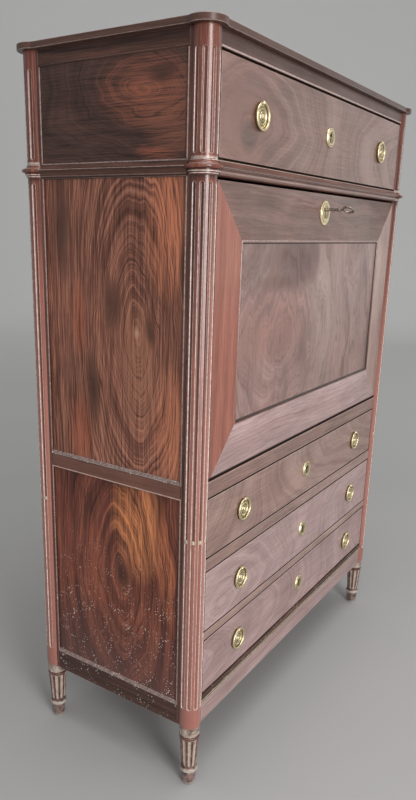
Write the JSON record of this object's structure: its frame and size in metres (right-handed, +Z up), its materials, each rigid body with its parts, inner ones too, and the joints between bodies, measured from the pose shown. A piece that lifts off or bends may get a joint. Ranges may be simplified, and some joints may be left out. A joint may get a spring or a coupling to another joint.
{
  "type": "secretary desk",
  "caption": "Fall-front secretary desk with fluted round corner columns, turned feet, a top drawer, long lower drawers and a fitted interior behind the fall.",
  "frame": {"origin": "on the floor at the centre of the bounding box", "axes": "+Z up, the front faces -Y, +X to the right seen from the front"},
  "size_m": [0.946, 0.472, 1.378],
  "materials": {
    "mahogany": "polished mahogany veneer, aged",
    "figured_mahogany": "figured mahogany veneer, polished",
    "lining_wood": "waxed oak",
    "brass": "lacquered pale brass",
    "steel": "dark worn steel",
    "leather": "dark green tooled leather"
  },
  "bodies": {
    "case": {"top_board": "mahogany", "post_front_left": "mahogany", "post_front_right": "mahogany", "post_rear_left": "mahogany", "post_rear_right": "mahogany", "foot_front_left": "mahogany", "foot_front_right": "mahogany", "foot_rear_left": "mahogany", "foot_rear_right": "mahogany", "side_frame_left": "mahogany", "side_frame_right": "mahogany", "side_panel_lower_left": "figured_mahogany", "side_panel_lower_right": "figured_mahogany", "side_panel_main_left": "figured_mahogany", "side_panel_main_right": "figured_mahogany", "back_panel": "lining_wood", "frieze_rail": "mahogany", "waist_rail": "mahogany", "desk_board": "mahogany", "drawer_rail_upper": "mahogany", "drawer_rail_lower": "mahogany", "apron_board": "mahogany", "pigeonhole_unit": "lining_wood"},
    "fall": {"fall_frame": "mahogany", "fall_panel": "figured_mahogany", "fall_leather": "leather", "fall_escutcheon": "brass", "fall_stay_left": "brass", "fall_stay_right": "brass"},
    "key": {"fall_key": "steel"},
    "lock_bolt": {"fall_lock_bolt": "brass"},
    "inner_drawer": {"inner_drawer": "lining_wood"},
    "top_ring_left": {"top_handle_ring_left": "brass"},
    "top_ring_right": {"top_handle_ring_right": "brass"},
    "top_drawer": {"top_drawer_front": "mahogany", "top_drawer_box": "lining_wood", "top_drawer_escutcheon": "brass", "top_handle_plate_left": "brass", "top_handle_plate_right": "brass"},
    "upper_ring_left": {"upper_handle_ring_left": "brass"},
    "upper_ring_right": {"upper_handle_ring_right": "brass"},
    "upper_drawer": {"upper_drawer_front": "mahogany", "upper_drawer_box": "lining_wood", "upper_drawer_escutcheon": "brass", "upper_handle_plate_left": "brass", "upper_handle_plate_right": "brass"},
    "middle_ring_left": {"middle_handle_ring_left": "brass"},
    "middle_ring_right": {"middle_handle_ring_right": "brass"},
    "middle_drawer": {"middle_drawer_front": "mahogany", "middle_drawer_box": "lining_wood", "middle_drawer_escutcheon": "brass", "middle_handle_plate_left": "brass", "middle_handle_plate_right": "brass"},
    "lower_ring_left": {"lower_handle_ring_left": "brass"},
    "lower_ring_right": {"lower_handle_ring_right": "brass"},
    "lower_drawer": {"lower_drawer_front": "mahogany", "lower_drawer_box": "lining_wood", "lower_drawer_escutcheon": "brass", "lower_handle_plate_left": "brass", "lower_handle_plate_right": "brass"}
  },
  "joints": [
    {"name": "fall_hinge", "type": "hinge", "parent": "case", "child": "fall", "pos_m": [0, -0.16, 0.6545], "axis": [1, 0, 0], "range_deg": [0, 90]},
    {"name": "key_turn", "type": "hinge", "parent": "fall", "child": "key", "pos_m": [0, -0.171, 1.1228], "axis": [0, 1, 0], "range_deg": [0, 90]},
    {"name": "lock_bolt_slide", "type": "slide", "parent": "fall", "child": "lock_bolt", "axis": [0, 0, 1], "range_m": [0, 0.008]},
    {"name": "inner_drawer_slide", "type": "slide", "parent": "case", "child": "inner_drawer", "axis": [0, -1, 0], "range_m": [0, 0.08]},
    {"name": "top_drawer_slide", "type": "slide", "parent": "case", "child": "top_drawer", "axis": [0, -1, 0], "range_m": [0, 0.28]},
    {"name": "top_ring_left_hinge", "type": "hinge", "parent": "top_drawer", "child": "top_ring_left", "pos_m": [-0.293, -0.1758, 1.28293], "axis": [-1, 0, 0], "range_deg": [0, 95]},
    {"name": "top_ring_right_hinge", "type": "hinge", "parent": "top_drawer", "child": "top_ring_right", "pos_m": [0.293, -0.1758, 1.28293], "axis": [-1, 0, 0], "range_deg": [0, 95]},
    {"name": "upper_drawer_slide", "type": "slide", "parent": "case", "child": "upper_drawer", "axis": [0, -1, 0], "range_m": [0, 0.28]},
    {"name": "upper_ring_left_hinge", "type": "hinge", "parent": "upper_drawer", "child": "upper_ring_left", "pos_m": [-0.293, -0.1758, 0.57218], "axis": [-1, 0, 0], "range_deg": [0, 95]},
    {"name": "upper_ring_right_hinge", "type": "hinge", "parent": "upper_drawer", "child": "upper_ring_right", "pos_m": [0.293, -0.1758, 0.57218], "axis": [-1, 0, 0], "range_deg": [0, 95]},
    {"name": "middle_drawer_slide", "type": "slide", "parent": "case", "child": "middle_drawer", "axis": [0, -1, 0], "range_m": [0, 0.28]},
    {"name": "middle_ring_left_hinge", "type": "hinge", "parent": "middle_drawer", "child": "middle_ring_left", "pos_m": [-0.293, -0.1758, 0.42253], "axis": [-1, 0, 0], "range_deg": [0, 95]},
    {"name": "middle_ring_right_hinge", "type": "hinge", "parent": "middle_drawer", "child": "middle_ring_right", "pos_m": [0.293, -0.1758, 0.42253], "axis": [-1, 0, 0], "range_deg": [0, 95]},
    {"name": "lower_drawer_slide", "type": "slide", "parent": "case", "child": "lower_drawer", "axis": [0, -1, 0], "range_m": [0, 0.28]},
    {"name": "lower_ring_left_hinge", "type": "hinge", "parent": "lower_drawer", "child": "lower_ring_left", "pos_m": [-0.293, -0.1758, 0.28138], "axis": [-1, 0, 0], "range_deg": [0, 95]},
    {"name": "lower_ring_right_hinge", "type": "hinge", "parent": "lower_drawer", "child": "lower_ring_right", "pos_m": [0.293, -0.1758, 0.28138], "axis": [-1, 0, 0], "range_deg": [0, 95]}
  ],
  "couplings": [
    {"joint": "lock_bolt_slide", "follows": "key_turn", "m_per_rad": 0.005}
  ]
}
